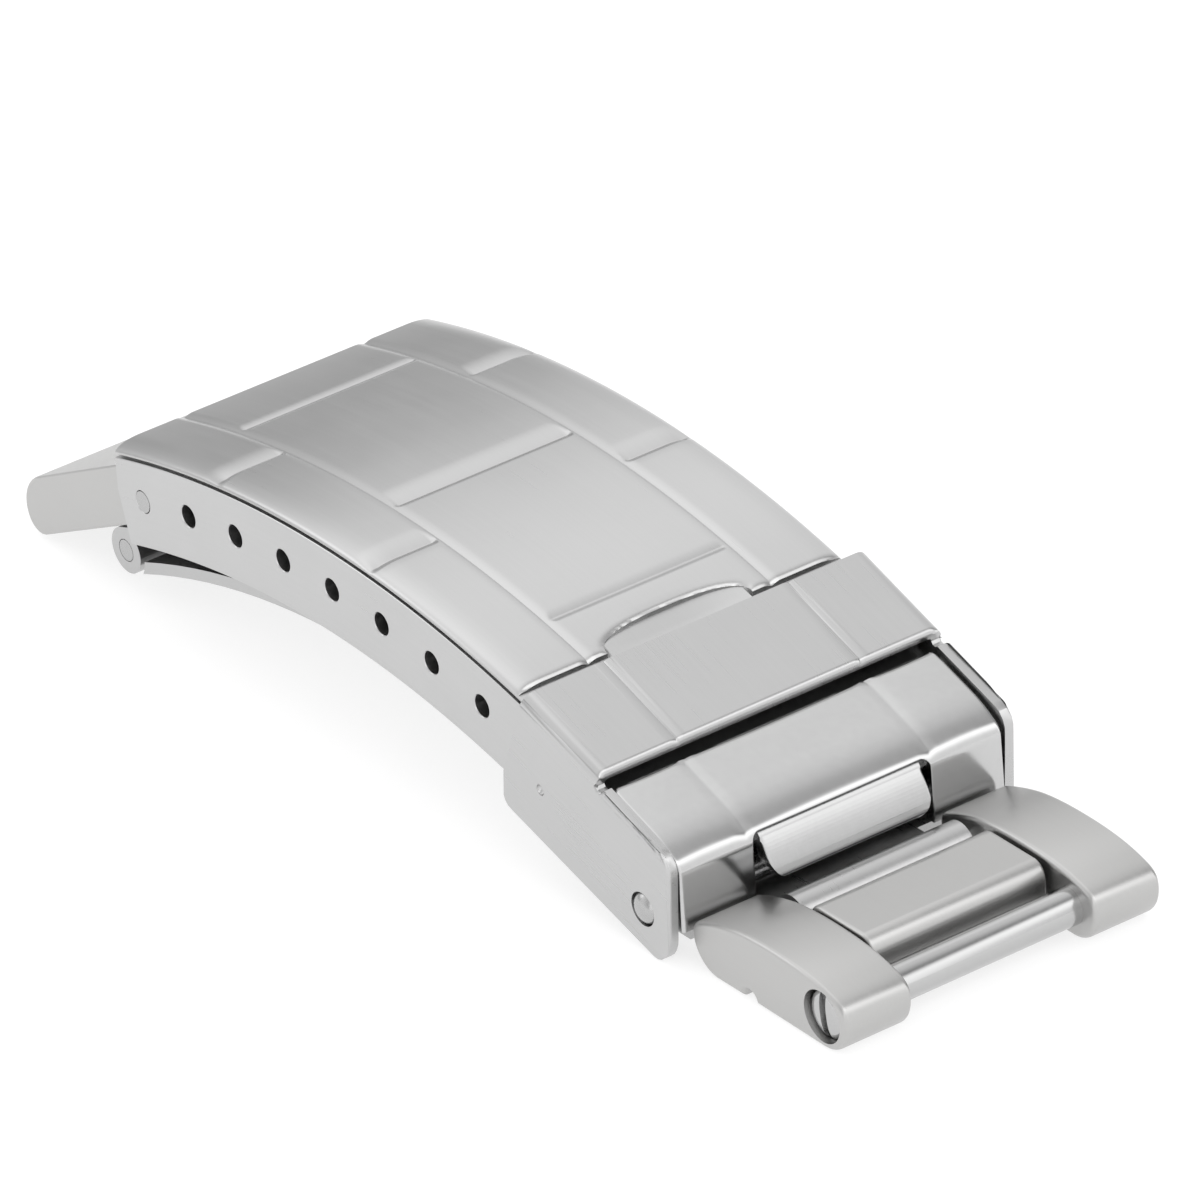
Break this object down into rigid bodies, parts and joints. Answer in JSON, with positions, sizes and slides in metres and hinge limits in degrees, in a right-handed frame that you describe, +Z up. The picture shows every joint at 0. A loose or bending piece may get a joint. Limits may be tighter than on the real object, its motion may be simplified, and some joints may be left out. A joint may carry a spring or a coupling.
{
  "type": "watch clasp",
  "caption": "Folding steel watch clasp, shut: curved cover with adjusting holes, folding blades, flip lock, band link and screwed end link.",
  "frame": {"origin": "middle of the shut clasp along and across the strap, at table level", "axes": "+X along the strap towards the screwed end link, +Y across the strap, +Z up"},
  "size_m": [0.0597, 0.0186, 0.0103],
  "materials": {
    "brushed_sheet": "fine brushed stainless sheet, satin on the tops",
    "polished_sheet": "polished stainless sheet",
    "frame_steel": "stamped stainless sheet, lightly polished",
    "blade_steel": "satin stainless spring sheet",
    "brushed_link": "satin brushed solid stainless",
    "pin_steel": "turned stainless pin ends",
    "polished_bar": "polished turned stainless",
    "spring_wire": "bright spring wire"
  },
  "bodies": {
    "inner": {"inner_blade": "blade_steel", "catch_frame": "frame_steel", "catch_panel": "polished_sheet", "frame_rivet_near": "pin_steel", "frame_rivet_far": "pin_steel", "lock_pin": "pin_steel", "fold_pin": "pin_steel"},
    "flip_lock": {"flip_lock": "brushed_sheet"},
    "outer": {"outer_blade": "blade_steel", "cover_pin": "pin_steel"},
    "cover": {"cover_shell": "brushed_sheet", "spring_bar_tube": "polished_bar", "spring_bar_spring": "spring_wire"},
    "tip_near": {"spring_bar_tip_near": "pin_steel"},
    "tip_far": {"spring_bar_tip_far": "pin_steel"},
    "band_link": {"band_link": "brushed_link"},
    "end_link": {"side_link_near": "brushed_link", "side_link_far": "brushed_link", "centre_link": "brushed_link", "link_pin": "pin_steel", "screw_bar": "polished_bar", "centre_pin_near": "pin_steel", "centre_pin_far": "pin_steel"}
  },
  "joints": [
    {"name": "fold_hinge", "type": "hinge", "parent": "inner", "child": "outer", "pos_m": [-0.02229, 0, 0.00214], "axis": [0, -1, 0], "range_deg": [0, 35]},
    {"name": "cover_hinge", "type": "hinge", "parent": "outer", "child": "cover", "pos_m": [0.01026, 0, 0.00485], "axis": [0, 1, 0], "range_deg": [0, 77]},
    {"name": "flip_lock_hinge", "type": "hinge", "parent": "inner", "child": "flip_lock", "pos_m": [0.01717, 0, 0.0021], "axis": [0, 1, 0], "range_deg": [0, 91]},
    {"name": "end_link_hinge", "type": "hinge", "parent": "inner", "child": "end_link", "pos_m": [0.02127, 0, 0.00155], "axis": [0, -1, 0], "range_deg": [-90, 30]},
    {"name": "band_link_hinge", "type": "hinge", "parent": "cover", "child": "band_link", "pos_m": [-0.01903, 0, 0.00627], "axis": [0, 1, 0], "range_deg": [0, 12]},
    {"name": "spring_tip_near_slide", "type": "slide", "parent": "cover", "child": "tip_near", "axis": [0, 1, 0], "range_m": [0, 0.0009], "stiffness_N_per_m": 600, "springref_m": -0.0004, "deforming": ["spring_bar_spring"]},
    {"name": "spring_tip_far_slide", "type": "slide", "parent": "cover", "child": "tip_far", "axis": [0, -1, 0], "range_m": [0, 0.0009], "stiffness_N_per_m": 600, "springref_m": -0.0004}
  ],
  "couplings": [
    {"joint": "flip_lock_hinge", "follows": "fold_hinge", "ratio": 2.6},
    {"joint": "cover_hinge", "follows": "fold_hinge", "ratio": 2.2}
  ]
}
